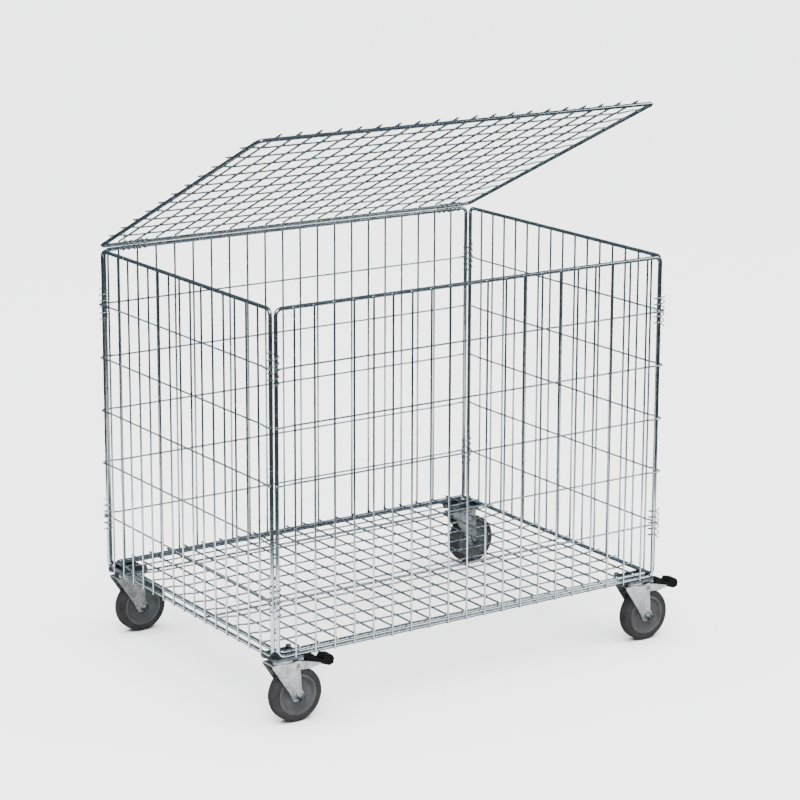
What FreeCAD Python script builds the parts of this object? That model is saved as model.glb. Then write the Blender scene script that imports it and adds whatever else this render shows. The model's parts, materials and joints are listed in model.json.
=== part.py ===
import FreeCAD, Part
import math
import os
import re
import Sketcher

# A wire-mesh container on four swivel casters, with a hinged mesh lid.
# Millimetres. The origin is on the ground under the middle of the container:
# +X runs along the front, +Y to the back and +Z up. The lid rests part open.

V = FreeCAD.Vector
doc = FreeCAD.newDocument("RollContainer")

# ---------------------------------------------------------------- dimensions
DIMENSIONS = [
    # container: distances between the axes of the frame rods
    ("width", 1050, "left side frame to right side frame"),
    ("depth", 772, "front frame to back frame"),
    ("height", 768, "bottom rods to top rods"),
    ("base", 164.5, "ground to the axes of the bottom rods"),
    ("rod", 9, "frame rod diameter"),
    ("mesh_bar", 4.5, "mesh bar diameter, outer layer"),
    ("cross", 3.8, "cross wire diameter, inner layer"),
    ("bend", 14, "bend radius of the frame rods, on their axis"),
    ("corner", 8.3, "upright rod set in from the container's edge"),
    ("columns", 21, "mesh gaps along the front and back"),
    ("ranks", 16, "mesh gaps along the sides"),
    ("rows", 6, "mesh gaps up the walls"),
    # floor
    ("floor_side", 16.6, "floor frame set in from the sides"),
    ("floor_front", 8.2, "floor frame set in from the front and back"),
    ("floor_lift", 7.5, "floor frame above the bottom rods"),
    ("floor_rows", 12, "mesh gaps from front to back"),
    ("floor_over", 7.5, "floor wires run past the floor frame's axes"),
    ("stiffener", 5, "stiffener rod diameter"),
    ("stiffener_front", 315, "first stiffener behind the front frame"),
    ("stiffener_back", 686, "second stiffener behind the front frame"),
    # lid
    ("lid_length", 800, "hinge rod to front rod"),
    ("lid_lift", 10, "hinge axis above the back wall's top rod"),
    ("lid_over", 11, "lid bars run past the front rod's axis"),
    ("lid_rows", 12, "mesh gaps from back to front"),
    ("lid_rest", 25.1, "rest angle of the lid above closed"),
    # wire ends and offsets
    ("wire_over", 8.5, "cross wires run past the outer rods' axes"),
    ("joggle_out", 12, "outer end of a joggle, from the outer rod"),
    ("joggle_in", 6, "inner end of a joggle, from the first mesh bar"),
    # coils
    ("coil_wire", 2.5, "coil wire diameter"),
    ("coil_pitch", 14.4, "advance of one coil turn"),
    ("corner_coil", 11.9, "corner coil radius, on the wire's axis"),
    ("corner_turns", 5, "turns of a corner coil"),
    ("hinge_coil", 11, "hinge coil radius, on the wire's axis"),
    ("hinge_start", 55.8, "hinge coil's first end, from the left edge"),
    ("hinge_turns", 4.75, "turns of a hinge coil"),
    ("hinge_space", 900, "left hinge coil to right hinge coil"),
    ("tail", 38, "straight tail of the left hinge coil"),
    # casters
    ("caster_x", 38, "swivel axis in from the side frames"),
    ("caster_y", 31, "swivel axis in from the front and back frames"),
    ("trail", 30.6, "axle behind the swivel axis"),
    ("wheel", 125, "tyre diameter"),
    ("tyre_width", 32, "tyre width"),
    ("shoulder", 7, "tyre shoulder radius"),
    ("rim", 94, "hub rim diameter"),
    ("rim_width", 31.6, "hub rim width"),
    ("web", 18, "hub web width"),
    ("boss_width", 35.6, "hub boss width"),
    ("plate_long", 77, "plate length"),
    ("plate_wide", 67, "plate width"),
    ("plate_corner", 8, "corner radius of a plate"),
    ("hole_long", 61.5, "bolt holes, along the plate"),
    ("hole_wide", 51.5, "bolt holes, across the plate"),
    ("bolt_hole", 8.4, "bolt hole diameter"),
    ("bolt", 8, "bolt diameter"),
    ("bolt_flats", 13, "bolt head across flats"),
    ("bolt_head", 5.5, "bolt head thickness"),
    ("nut_thick", 6.5, "nut thickness"),
    ("bolt_end", 1.5, "bolt past its nut"),
    ("mount_thick", 3, "mounting plate thickness"),
    ("top_thick", 3.5, "caster top plate thickness"),
    ("race", 48, "ball race outer diameter"),
    ("ball", 6, "race ball diameter"),
    ("ball_circle", 39, "diameter of the circle of balls"),
    ("balls", 16, "balls in one race"),
    ("groove", 6.16, "ball groove diameter"),
    ("ball_drop", 4.5, "balls' middle below the top plate"),
    ("race_gap", 0.8, "gap between the two halves of a race"),
    ("kingpin", 12, "kingpin diameter"),
    ("kingpin_head", 22, "kingpin head diameter"),
    ("kingpin_gap", 0.3, "gap between the crown and the kingpin's head"),
    ("kingpin_thick", 4, "kingpin head thickness"),
    ("play", 0.1, "diametral running play"),
    ("crown_drop", 9, "fork crown below the top plate"),
    ("crown", 60, "fork crown diameter"),
    ("sheet", 3, "fork sheet thickness"),
    ("fork_width", 43, "fork over its cheeks"),
    ("fold", 4, "outer radius of the fork's folds"),
    ("cheek_front", 38, "fork cheek ahead of the swivel axis"),
    ("cheek_back", 33, "fork cheek behind the swivel axis"),
    ("cheek_lip", 6.5, "depth of the cheek's front edge"),
    ("cheek_shoulder", 23, "depth of the cheek's upright back edge"),
    ("axle", 12, "axle bolt diameter"),
    ("axle_edge", 11, "cheek edge from the axle"),
    ("sleeve", 16, "axle sleeve outer diameter"),
    ("axle_flats", 19, "axle nut across flats"),
    ("axle_nut", 7, "axle nut thickness"),
    ("axle_end", 3, "axle bolt past its nut"),
    ("pedal_x", 27, "brake pedal pivot behind the swivel axis"),
    ("pedal_z", 132.5, "brake pedal pivot above the ground"),
    ("rivet", 6, "pedal rivet diameter"),
    ("pedal_width", 36.4, "pedal over its arms"),
    ("pedal_sheet", 1.8, "pedal sheet thickness"),
    ("pedal_reach", 60, "pedal's end behind its pivot"),
    ("cap_width", 29, "pedal cap width"),
    ("rivet_head", 10, "pedal rivet head diameter"),
    ("rivet_thick", 1.8, "pedal rivet head thickness"),
]

dims = doc.addObject("Spreadsheet::Sheet", "Dims")
for row, (alias, number, note) in enumerate(DIMENSIONS, start=1):
    dims.set("A%d" % row, alias)
    dims.set("B%d" % row, str(number))
    dims.set("C%d" % row, note)
    dims.setAlias("B%d" % row, alias)
doc.recompute()


# ------------------------------------------------------------------- helpers
def spell(rule):
    """Turn a rule such as 'width / 2 - rod' into a spreadsheet expression."""
    return re.sub(r"[a-z][a-z_]+", lambda word: "Dims." + word.group(), str(rule))


def value(rule):
    """Work a rule out as a number."""
    result = dims.evalExpression(spell(rule))
    return float(getattr(result, "Value", result))


def bind(thing, **rules):
    """Tie properties of an object to rules on the spreadsheet."""
    for name, rule in rules.items():
        thing.setExpression(name, spell(rule))


def put(thing, x="0", y="0", z="0", turn=None):
    """Give an object its Placement: a bound position and a fixed rotation."""
    thing.Placement = FreeCAD.Placement(V(), turn or FreeCAD.Rotation())
    for axis, rule in zip("xyz", (x, y, z)):
        thing.setExpression("Placement.Base." + axis, spell(rule))


def new_body(label):
    """Start a PartDesign body that may hold several separate solids."""
    body = doc.addObject("PartDesign::Body", label)
    body.Label = label
    body.AllowCompound = True
    return body


def new_sketch(body, plane, lift="0"):
    """Add a sketch on one of the body's origin planes, raised along its normal."""
    sketch = body.newObject("Sketcher::SketchObject", "Sketch")
    support = [item for item in body.Origin.OriginFeatures if item.Role == plane]
    sketch.AttachmentSupport = [(support[0], "")]
    sketch.MapMode = "FlatFace"
    sketch.setExpression("AttachmentOffset.Base.z", spell(lift))
    return sketch


def fix(sketch, kind, *items, rule):
    """Add a dimension to a sketch, bound to a rule."""
    index = sketch.addConstraint(Sketcher.Constraint(kind, *items, value(rule)))
    sketch.setExpression("Constraints[%d]" % index, spell(rule))


def pin(sketch, geometry, point, x, y):
    """Hold a point of the geometry at (x, y) from the sketch's origin."""
    fix(sketch, "DistanceX", -1, 1, geometry, point, rule=x)
    fix(sketch, "DistanceY", -1, 1, geometry, point, rule=y)


def add_circle(sketch, x, y, diameter):
    """Draw a circle with its centre and diameter bound."""
    centre = V(value(x), value(y), 0)
    index = sketch.addGeometry(Part.Circle(centre, V(0, 0, 1), value(diameter) / 2))
    pin(sketch, index, 3, x, y)
    fix(sketch, "Diameter", index, rule=diameter)


def add_path(sketch, points, closed=False):
    """Draw straight runs through points given as rules."""
    spots = [V(value(x), value(y), 0) for x, y in points]
    ends = spots[1:] + spots[:1] if closed else spots[1:]
    for number, (start, end) in enumerate(zip(spots, ends)):
        index = sketch.addGeometry(Part.LineSegment(start, end))
        pin(sketch, index, 1, *points[number])
        pin(sketch, index, 2, *points[(number + 1) % len(points)])
    return len(ends)


def add_rectangle(sketch, x0, y0, x1, y1):
    """Draw a closed rectangle between two bound corners."""
    add_path(sketch, [(x0, y0), (x1, y0), (x1, y1), (x0, y1)], closed=True)


def add_loop(sketch, half, low, high, radius):
    """Draw a closed rectangle with round corners, for a bent rod's axis."""
    x, z0, z1, r = value(half), value(low), value(high), value(radius)
    corners = [(x - r, z0 + r, 270), (x - r, z1 - r, 0), (r - x, z1 - r, 90), (r - x, z0 + r, 180)]
    arcs = []
    for cx, cz, start in corners:
        circle = Part.Circle(V(cx, cz, 0), V(0, 0, 1), r)
        first = math.radians(start)
        arcs.append(sketch.addGeometry(Part.ArcOfCircle(circle, first, first + math.pi / 2)))
    centres = [("%s - %s", "%s + %s", half, low), ("%s - %s", "%s - %s", half, high)]
    for arc, (across, up, x_rule, z_rule) in zip(arcs[:2], centres):
        pin(sketch, arc, 3, across % (x_rule, radius), up % (z_rule, radius))
    for arc, (across, up, x_rule, z_rule) in zip(arcs[2:], reversed(centres)):
        pin(sketch, arc, 3, "-(" + across % (x_rule, radius) + ")", up % (z_rule, radius))
    for number, arc in enumerate(arcs):
        following = arcs[(number + 1) % 4]
        begin = sketch.getPoint(arc, 2)
        end = sketch.getPoint(following, 1)
        line = sketch.addGeometry(Part.LineSegment(begin, end))
        sketch.addConstraint(Sketcher.Constraint("Tangent", arc, 2, line, 1))
        sketch.addConstraint(Sketcher.Constraint("Tangent", line, 2, following, 1))
        fix(sketch, "Radius", arc, rule=radius)
    return 8


def add_hexagon(sketch, x, y, flats):
    """Draw a hexagon with two flats parallel to the sketch's X axis."""
    side = "(%s) / %.9f" % (flats, math.sqrt(3))
    half = "(%s) / 2" % flats
    corners = []
    for across, up in [(1, 0), (0.5, 1), (-0.5, 1), (-1, 0), (-0.5, -1), (0.5, -1)]:
        corners.append(("%s + %s * %s" % (x, across, side), "%s + %s * %s" % (y, up, half)))
    add_path(sketch, corners, closed=True)


def pad(body, sketch, length, both=False, down=False):
    """Raise a sketch into a solid."""
    feature = body.newObject("PartDesign::Pad", "Pad")
    feature.Profile = sketch
    feature.Midplane = both
    feature.Reversed = down
    bind(feature, Length=length)
    body.Tip = feature
    return feature


def pocket(body, sketch, length, both=False, up=False):
    """Cut a sketch into the solid."""
    feature = body.newObject("PartDesign::Pocket", "Pocket")
    feature.Profile = sketch
    feature.Midplane = both
    feature.Reversed = up
    bind(feature, Length=length)
    body.Tip = feature


def pipe(body, spine, edges, profile):
    """Run a round profile along a sketched path."""
    feature = body.newObject("PartDesign::AdditivePipe", "Pipe")
    feature.Profile = profile
    feature.Spine = (spine, ["Edge%d" % (index + 1) for index in range(edges)])
    feature.Transition = "Round corner"
    body.Tip = feature
    return feature


def repeat(body, feature, sketch, axis, length, count):
    """Repeat a feature in a row along one of its sketch's axes."""
    pattern = body.newObject("PartDesign::LinearPattern", "Row")
    pattern.Originals = [feature]
    pattern.Direction = (sketch, [axis])
    bind(pattern, Length=length, Occurrences=count)
    body.Tip = pattern


def revolve(body, sketch):
    """Turn a sketch round its upright axis."""
    feature = body.newObject("PartDesign::Revolution", "Revolution")
    feature.Profile = sketch
    feature.ReferenceAxis = (sketch, ["V_Axis"])
    feature.Angle = 360
    body.Tip = feature


def groove(body, sketch):
    """Cut a sketch turned round its upright axis."""
    feature = body.newObject("PartDesign::Groove", "Groove")
    feature.Profile = sketch
    feature.ReferenceAxis = (sketch, ["V_Axis"])
    feature.Angle = 360
    body.Tip = feature


def soften(body, edges, radius):
    """Round the picked edges of the body's solid."""
    base = body.Tip
    feature = body.newObject("PartDesign::Fillet", "Fillet")
    feature.Base = (base, edges)
    bind(feature, Radius=radius)
    body.Tip = feature


def group(label, members):
    """Join separate solids into one node."""
    compound = doc.addObject("Part::Compound", label)
    compound.Label = label
    compound.Links = members
    return compound


# ---------------------------------------------------------------- mesh panels
# Every wall, the floor and the lid is a panel: a bent rod frame in the local XZ
# plane, bars on its outer face (local -Y) and cross wires under the bars whose
# ends step up over the frame's side rods.
def panel_frame(label, half, rise):
    """Bend the frame rod into a closed rectangle."""
    body = new_body(label)
    spine = new_sketch(body, "XZ_Plane")
    edges = add_loop(spine, half, "0", rise, "bend")
    profile = new_sketch(body, "YZ_Plane")
    add_circle(profile, "0", "0", "rod")
    doc.recompute()
    pipe(body, spine, edges, profile)
    return body


def panel_bars(label, first, gap, count, low, high):
    """Lay a row of bars over the frame, each from the low level to the high one."""
    body = new_body(label)
    sketch = new_sketch(body, "XY_Plane", low)
    add_circle(sketch, first, "-(rod + mesh_bar) / 2", "mesh_bar")
    bars = pad(body, sketch, "(%s) - (%s)" % (high, low))
    doc.recompute()
    repeat(body, bars, sketch, "H_Axis", "(%s) * ((%s) - 1)" % (gap, count), count)
    doc.recompute()
    return body


def panel_cross_wires(label, half, bay, over, gap, count):
    """Lay cross wires under the bars, with ends stepped up over the side rods."""
    body = new_body(label)
    level = "-(rod - cross) / 2"
    raised = "-(rod + cross) / 2"
    outer = "%s + %s" % (half, over)
    crest = "%s - joggle_out" % half
    foot = "%s - (%s) + joggle_in" % (half, bay)
    right = [(foot, level), (crest, raised), (outer, raised)]
    left = [("-(%s)" % x, y) for x, y in reversed(right)]
    spine = new_sketch(body, "XY_Plane", gap)
    edges = add_path(spine, left + right)
    profile = new_sketch(body, "YZ_Plane", "-(%s)" % outer)
    add_circle(profile, raised, gap, "cross")
    doc.recompute()
    wire = pipe(body, spine, edges, profile)
    doc.recompute()
    repeat(body, wire, spine, "N_Axis", "(%s) * ((%s) - 1)" % (gap, count), count)
    return body


def wall(side, span, gaps, x, y, turn):
    """Make one wall: its frame, upright bars and cross wires."""
    half = "%s / 2 - corner" % span
    gap = "%s / %s" % (span, gaps)
    first = "-%s / 2 + %s" % (span, gap)
    bay = "%s - corner" % gap
    row = "height / rows"
    pieces = [
        panel_frame(side + "_frame", half, "height"),
        panel_bars(side + "_upright_bars", first, gap, gaps + " - 1", "-rod / 2", "height"),
        panel_cross_wires(side + "_cross_wires", half, bay, "wire_over", row, "rows - 1"),
    ]
    for piece in pieces:
        put(piece, x, y, "base", FreeCAD.Rotation(V(0, 0, 1), turn))
    return pieces


def make_floor():
    """Make the floor panel, which faces up, and the stiffeners under it."""
    half = "width / 2 - floor_side"
    rise = "depth - 2 * floor_front"
    gap = "(width - 2 * floor_side) / columns"
    row = "(depth - 2 * floor_front) / floor_rows"
    first = "-(%s) + %s" % (half, gap)
    far = "%s + floor_over" % rise
    flat = FreeCAD.Rotation(V(1, 0, 0), -90)
    panel = [
        panel_frame("floor_frame", half, rise),
        panel_bars("floor_bars", first, gap, "columns - 1", "-floor_over", far),
        panel_cross_wires("floor_cross_wires", half, gap, "floor_over", row, "floor_rows - 1"),
    ]
    for piece in panel:
        put(piece, "0", "-depth / 2 + floor_front", "base + floor_lift", flat)
    rods = new_body("floor_stiffeners")
    for behind in ("stiffener_front", "stiffener_back"):
        sketch = new_sketch(rods, "YZ_Plane")
        level = "floor_lift - (rod + stiffener) / 2"
        add_circle(sketch, "%s - depth / 2" % behind, level, "stiffener")
        pad(rods, sketch, "width - rod", both=True)
    put(rods, z="base")
    return panel + [rods]


def make_lid():
    """Make the lid panel, hinged along its first rod and held part open."""
    half = "width / 2"
    gap = "width / columns"
    row = "lid_length / lid_rows"
    first = "-(%s) + %s" % (half, gap)
    far = "lid_length + lid_over"
    # The panel's local Z runs forward from the hinge and its outer face looks up.
    forward = FreeCAD.Rotation(V(0, 1, -1), 180)
    lifted = FreeCAD.Rotation(V(1, 0, 0), -value("lid_rest")) * forward
    panel = [
        panel_frame("lid_frame", half, "lid_length"),
        panel_bars("lid_bars", first, gap, "columns - 1", "0", far),
        panel_cross_wires("lid_cross_wires", half, gap, "wire_over", row, "lid_rows - 1"),
    ]
    for piece in panel:
        put(piece, "0", "depth / 2", "base + height + lid_lift", lifted)
    return panel


# ---------------------------------------------------------------------- coils
def add_coil(body, sketch, pitch, turns):
    """Wind the sketched wire section round the sketch's own axis."""
    coil = body.newObject("PartDesign::AdditiveHelix", "Coil")
    coil.Profile = sketch
    coil.ReferenceAxis = (sketch, ["V_Axis"])
    coil.Mode = "pitch-turns-angle"
    bind(coil, Pitch=pitch, Turns=turns)
    body.Tip = coil


def make_corner_coils():
    """Tie the upright rods of neighbouring walls with two coils at each corner."""
    coils = []
    inward = "corner / 2"
    for quarter in range(4):
        x = "-width / 2 + " + inward if quarter in (0, 3) else "width / 2 - " + inward
        y = "-depth / 2 + " + inward if quarter in (0, 1) else "depth / 2 - " + inward
        for row in ("1", "rows - 1"):
            body = new_body("corner_coil")
            sketch = new_sketch(body, "XZ_Plane")
            add_circle(sketch, "corner_coil", "-coil_pitch * corner_turns / 2", "coil_wire")
            doc.recompute()
            add_coil(body, sketch, "coil_pitch", "corner_turns")
            # The wire's ends lie on the outward diagonal of the corner.
            outward = FreeCAD.Rotation(V(0, 0, 1), 225 + 90 * quarter)
            put(body, x, y, "base + height / rows * (%s)" % row, outward)
            coils.append(body)
    return [group("corner_coils", coils)]


def make_hinge_coils():
    """Hinge the lid with a coil near each end; the left one has a straight tail."""
    coils = []
    # The local Z axis lies along the hinge, and the wire's first end is in front of it.
    # The turns pass over the rods clear of the lid's bars, however far the lid is open.
    along = FreeCAD.Rotation(V(0, -1, 0), V(0, 0, -1), V(1, 0, 0), "ZXY")
    for label, shift in (("hinge_coil_left", "0"), ("hinge_coil_right", "hinge_space")):
        body = new_body(label)
        sketch = new_sketch(body, "XZ_Plane")
        add_circle(sketch, "hinge_coil", "hinge_start", "coil_wire")
        doc.recompute()
        add_coil(body, sketch, "coil_pitch", "hinge_turns")
        doc.recompute()
        if not coils:
            end = new_sketch(body, "XZ_Plane")
            add_circle(end, "hinge_coil", "hinge_start", "coil_wire")
            pad(body, end, "tail")
        put(body, "-width / 2 + %s" % shift, "depth / 2", "base + height + lid_lift / 2", along)
        coils.append(body)
    return [group("hinge_coils", coils)]


# -------------------------------------------------------------------- casters
# A caster's pieces are drawn round its swivel axis, with Z from the ground.
PLATE_TOP = "base - rod / 2"
TOP_PLATE_TOP = "base - rod / 2 - mount_thick"
TOP_PLATE_UNDER = "base - rod / 2 - mount_thick - top_thick"
CROWN_TOP = TOP_PLATE_UNDER + " - crown_drop"
BALL_LEVEL = TOP_PLATE_UNDER + " - ball_drop"
HOLES = [(across, along) for across in (-1, 1) for along in (-1, 1)]


def plate(label, low, thick):
    """Cut a plate with four round corners and four bolt holes."""
    body = new_body(label)
    outline = new_sketch(body, "XY_Plane", low)
    add_rectangle(outline, "-plate_long / 2", "-plate_wide / 2", "plate_long / 2", "plate_wide / 2")
    pad(body, outline, thick)
    doc.recompute()
    uprights = []
    for number, edge in enumerate(body.Tip.Shape.Edges, start=1):
        if abs(edge.tangentAt(edge.FirstParameter).z) > 0.9:
            uprights.append("Edge%d" % number)
    soften(body, uprights, "plate_corner")
    holes = new_sketch(body, "XY_Plane", low)
    for across, along in HOLES:
        add_circle(holes, "%d * hole_long / 2" % across, "%d * hole_wide / 2" % along, "bolt_hole")
    pocket(body, holes, thick, up=True)
    return body


def make_mounting_plate():
    """Make the plate that is welded under the bottom rods at a corner."""
    return plate("mounting_plate", TOP_PLATE_TOP, "mount_thick")


def make_top_plate(label):
    """Make the caster's own plate, with the upper half of the ball race."""
    body = plate(label, TOP_PLATE_UNDER, "top_thick")
    ring = new_sketch(body, "XY_Plane", TOP_PLATE_UNDER)
    add_circle(ring, "0", "0", "race")
    pad(body, ring, "ball_drop - race_gap / 2", down=True)
    cut_race(body)
    hole = new_sketch(body, "XY_Plane", TOP_PLATE_TOP)
    add_circle(hole, "0", "0", "kingpin")
    pocket(body, hole, "top_thick + ball_drop")
    return body


def cut_race(body):
    """Cut the ball groove into a half of the race."""
    section = new_sketch(body, "XZ_Plane")
    add_circle(section, "ball_circle / 2", BALL_LEVEL, "groove")
    groove(body, section)


def make_balls():
    """Make one race's ring of balls."""
    body = new_body("balls")
    half = new_sketch(body, "XZ_Plane")
    middle = V(value("ball_circle / 2"), value(BALL_LEVEL), 0)
    radius = value("ball / 2")
    upright = Part.Circle(middle, V(0, 0, 1), radius)
    arc = half.addGeometry(Part.ArcOfCircle(upright, -math.pi / 2, math.pi / 2))
    pin(half, arc, 3, "ball_circle / 2", BALL_LEVEL)
    fix(half, "Radius", arc, rule="ball / 2")
    low = half.getPoint(arc, 1)
    high = half.getPoint(arc, 2)
    chord = half.addGeometry(Part.LineSegment(high, low))
    half.addConstraint(Sketcher.Constraint("Coincident", arc, 2, chord, 1))
    half.addConstraint(Sketcher.Constraint("Coincident", arc, 1, chord, 2))
    half.addConstraint(Sketcher.Constraint("Vertical", chord))
    doc.recompute()
    ball = body.newObject("PartDesign::Revolution", "Ball")
    ball.Profile = half
    ball.ReferenceAxis = (half, ["Edge2"])
    ball.Angle = 360
    body.Tip = ball
    doc.recompute()
    ring = body.newObject("PartDesign::PolarPattern", "Ring")
    ring.Originals = [ball]
    ring.Axis = (half, ["V_Axis"])
    ring.Angle = 360
    bind(ring, Occurrences="balls")
    body.Tip = ring
    return body


def make_kingpin():
    """Make the rivet that holds the fork under the top plate and lets it turn."""
    body = new_body("kingpin")
    shank = new_sketch(body, "XY_Plane", TOP_PLATE_TOP)
    add_circle(shank, "0", "0", "kingpin")
    pad(body, shank, "top_thick + crown_drop + sheet + kingpin_gap", down=True)
    head = new_sketch(body, "XY_Plane", CROWN_TOP + " - sheet - kingpin_gap")
    add_circle(head, "0", "0", "kingpin_head")
    pad(body, head, "kingpin_thick", down=True)
    return body


def make_fork(label, braked):
    """Fold the fork: two cheeks under a crown that carries the lower race."""
    body = new_body(label)
    side = new_sketch(body, "XZ_Plane")
    top = CROWN_TOP
    add_path(side, [
        ("-cheek_front", top),
        ("-cheek_front", top + " - cheek_lip"),
        ("trail - axle * 2.2", "wheel / 2 + axle"),
        ("trail - axle * 1.25", "wheel / 2 - axle_edge"),
        ("trail + axle * 0.35", "wheel / 2 - axle_edge"),
        ("trail + axle_edge", "wheel / 2 - axle / 3"),
        ("trail + axle_edge", "wheel / 2 + axle / 3"),
        ("cheek_back + sheet", "wheel / 2 + axle * 1.1"),
        ("cheek_back", top + " - cheek_shoulder"),
        ("cheek_back", top),
    ], closed=True)
    pad(body, side, "fork_width", both=True)
    inside = new_sketch(body, "YZ_Plane")
    add_rectangle(inside, "sheet - fork_width / 2", "0", "fork_width / 2 - sheet", top + " - sheet")
    pocket(body, inside, "wheel * 2", both=True)
    doc.recompute()
    folds = []
    for number, edge in enumerate(body.Tip.Shape.Edges, start=1):
        middle = edge.CenterOfMass
        outer = abs(abs(middle.y) - value("fork_width / 2")) < 0.01
        if outer and abs(middle.z - value(top)) < 0.01:
            folds.append("Edge%d" % number)
    soften(body, folds, "fold")
    crown = new_sketch(body, "XY_Plane", top)
    add_circle(crown, "0", "0", "crown")
    pad(body, crown, "sheet", down=True)
    ring = new_sketch(body, "XY_Plane", top)
    add_circle(ring, "0", "0", "race")
    pad(body, ring, "crown_drop - ball_drop - race_gap / 2")
    cut_race(body)
    bore = new_sketch(body, "XY_Plane", TOP_PLATE_UNDER)
    add_circle(bore, "0", "0", "kingpin + play")
    pocket(body, bore, "crown_drop + sheet")
    holes = new_sketch(body, "XZ_Plane")
    add_circle(holes, "trail", "wheel / 2", "axle + play")
    if braked:
        add_circle(holes, "pedal_x", "pedal_z", "rivet")
    pocket(body, holes, "fork_width * 2", both=True)
    return body


def make_axle_bolt(label):
    """Make the axle: a bolt with its head on the back cheek."""
    body = new_body(label)
    shank = new_sketch(body, "XZ_Plane", "-fork_width / 2")
    add_circle(shank, "trail", "wheel / 2", "axle")
    pad(body, shank, "fork_width + axle_nut + axle_end")
    head = new_sketch(body, "XZ_Plane", "-fork_width / 2")
    add_hexagon(head, "trail", "wheel / 2", "axle_flats")
    pad(body, head, "axle_nut", down=True)
    return body


def make_axle_nut(label):
    """Make the nut on the axle's front end."""
    body = new_body(label)
    outline = new_sketch(body, "XZ_Plane", "fork_width / 2")
    add_hexagon(outline, "trail", "wheel / 2", "axle_flats")
    add_circle(outline, "trail", "wheel / 2", "axle")
    pad(body, outline, "axle_nut")
    return body


def make_axle_sleeve(label):
    """Make the tube that the fork clamps and the wheel turns on."""
    body = new_body(label)
    ring = new_sketch(body, "XZ_Plane")
    add_circle(ring, "trail", "wheel / 2", "sleeve")
    add_circle(ring, "trail", "wheel / 2", "axle + play")
    pad(body, ring, "fork_width - 2 * sheet", both=True)
    return body


def make_hub(label):
    """Turn the wheel's hub: a bored boss, a thin web and a raised rim."""
    body = new_body(label)
    section = new_sketch(body, "XY_Plane")
    outer = [
        ("(sleeve + play) / 2", "boss_width / 2"),
        ("sleeve", "boss_width / 2"),
        ("sleeve + 2", "web / 2"),
        ("rim / 2 - 9", "web / 2"),
        ("rim / 2 - 6", "rim_width / 2"),
        ("rim / 2 - 1", "rim_width / 2"),
        ("rim / 2", "rim_width / 2 - 1"),
    ]
    inner = [(x, "-(%s)" % y) for x, y in reversed(outer)]
    add_path(section, outer + inner, closed=True)
    revolve(body, section)
    return body


def make_tyre(label):
    """Turn the tyre, with round shoulders, on the hub's rim."""
    body = new_body(label)
    section = new_sketch(body, "XY_Plane")
    add_path(section, [
        ("rim / 2", "1 - rim_width / 2"),
        ("rim / 2 + 2", "-tyre_width / 2"),
        ("wheel / 2", "-tyre_width / 2"),
        ("wheel / 2", "tyre_width / 2"),
        ("rim / 2 + 2", "tyre_width / 2"),
        ("rim / 2", "rim_width / 2 - 1"),
    ], closed=True)
    revolve(body, section)
    doc.recompute()
    shoulders = []
    for number, edge in enumerate(body.Tip.Shape.Edges, start=1):
        curve = edge.Curve
        if isinstance(curve, Part.Circle) and abs(curve.Radius - value("wheel / 2")) < 0.01:
            shoulders.append("Edge%d" % number)
    soften(body, shoulders, "shoulder")
    return body


def make_pedal(label):
    """Fold the brake pedal: two arms inside the fork's cheeks under a top strip."""
    body = new_body(label)
    side = new_sketch(body, "XZ_Plane")
    add_path(side, [
        ("pedal_x - 7", "pedal_z - 5"),
        ("pedal_x - 7", "pedal_z + 4"),
        ("pedal_x - 3", "pedal_z + 7"),
        ("pedal_x + 9", "pedal_z + 7"),
        ("pedal_x + 25", "pedal_z + 4"),
        ("pedal_x + pedal_reach", "pedal_z - 5.5"),
        ("pedal_x + pedal_reach", "pedal_z - 9"),
        ("pedal_x + 34", "pedal_z - 14"),
        ("pedal_x + 9", "pedal_z - 11.5"),
    ], closed=True)
    pad(body, side, "pedal_width", both=True)
    inside = new_sketch(body, "XZ_Plane")
    add_path(inside, [
        ("pedal_x - 10", "pedal_z + 10"),
        ("pedal_x + 10", "pedal_z + 10"),
        ("pedal_x + 10", "pedal_z + 7 - pedal_sheet"),
        ("pedal_x + 25", "pedal_z + 4 - pedal_sheet"),
        ("pedal_x + pedal_reach + 3", "pedal_z - 6.4 - pedal_sheet"),
        ("pedal_x + pedal_reach + 3", "pedal_z - 20"),
        ("pedal_x - 10", "pedal_z - 20"),
    ], closed=True)
    pocket(body, inside, "pedal_width - 2 * pedal_sheet", both=True)
    shoe = new_sketch(body, "XZ_Plane")
    add_path(shoe, [
        ("pedal_x + 11", "pedal_z - 5"),
        ("pedal_x + 17", "pedal_z - 4"),
        ("pedal_x + 17", "pedal_z + 5"),
        ("pedal_x + 11", "pedal_z + 6"),
    ], closed=True)
    pad(body, shoe, "pedal_width - pedal_sheet", both=True)
    hole = new_sketch(body, "XZ_Plane")
    add_circle(hole, "pedal_x", "pedal_z", "rivet + play")
    pocket(body, hole, "pedal_width * 2", both=True)
    return body


def make_pedal_cap(label):
    """Mould the pedal's cap, with a small release step and a large brake step."""
    body = new_body(label)
    side = new_sketch(body, "XZ_Plane")
    add_path(side, [
        ("pedal_x + 27", "pedal_z + 4 - 19 / 70"),
        ("pedal_x + 30", "pedal_z + 13"),
        ("pedal_x + 50", "pedal_z + 11"),
        ("pedal_x + 54", "pedal_z + 2"),
        ("pedal_x + 68", "pedal_z - 1.5"),
        ("pedal_x + 74", "pedal_z + 8"),
        ("pedal_x + 93", "pedal_z + 4"),
        ("pedal_x + 97", "pedal_z - 3"),
        ("pedal_x + 95", "pedal_z - 15"),
        ("pedal_x + 84", "pedal_z - 18"),
        ("pedal_x + pedal_reach", "pedal_z - 9"),
        ("pedal_x + pedal_reach", "pedal_z - 5.5"),
    ], closed=True)
    pad(body, side, "cap_width", both=True)
    return body


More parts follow.
